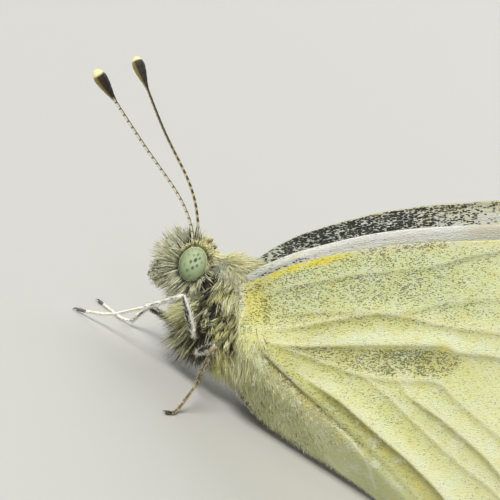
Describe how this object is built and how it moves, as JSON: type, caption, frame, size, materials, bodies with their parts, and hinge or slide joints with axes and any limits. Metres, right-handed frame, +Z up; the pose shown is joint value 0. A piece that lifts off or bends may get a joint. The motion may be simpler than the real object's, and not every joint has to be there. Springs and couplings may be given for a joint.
{
  "type": "small white butterfly",
  "caption": "Small white butterfly at rest with its wings closed over its back, as a still, life-size display model with furry body, long clubbed antennae and slender legs.",
  "frame": {"origin": "middle of the floor under the whole animal", "axes": "+Z up from the floor, head towards -X, the animal's left side towards -Y"},
  "size_m": [0.0312, 0.012, 0.0217],
  "materials": {
    "fur": "long silky hair, cream to yellow-grey with fine black hairs between",
    "eye": "smooth pale green compound eye with small dark spots",
    "antenna": "black with narrow white rings, a dark club and a pale cream tip",
    "proboscis": "dark brown coiled tongue",
    "forewing": "white scales, grey dusted base and dark tip on the upper side, yellow tip below",
    "hindwing": "pale yellow scales dusted with dark ones, raised pale veins, bright yellow front edge",
    "leg": "white scaled femora and tibiae with dark lines, tan feet, black claws"
  },
  "bodies": {
    "root": {"head": "fur", "thorax": "fur", "abdomen": "fur", "palp_left": "fur", "palp_right": "fur", "eye_left": "eye", "eye_right": "eye", "antenna_left": "antenna", "antenna_right": "antenna", "proboscis": "proboscis", "forewing_left": "forewing", "forewing_right": "forewing", "hindwing_left": "hindwing", "hindwing_right": "hindwing", "foreleg_left": "leg", "foreleg_right": "leg", "midleg_left": "leg", "midleg_right": "leg", "hindleg_left": "leg", "hindleg_right": "leg"}
  },
  "joints": []
}
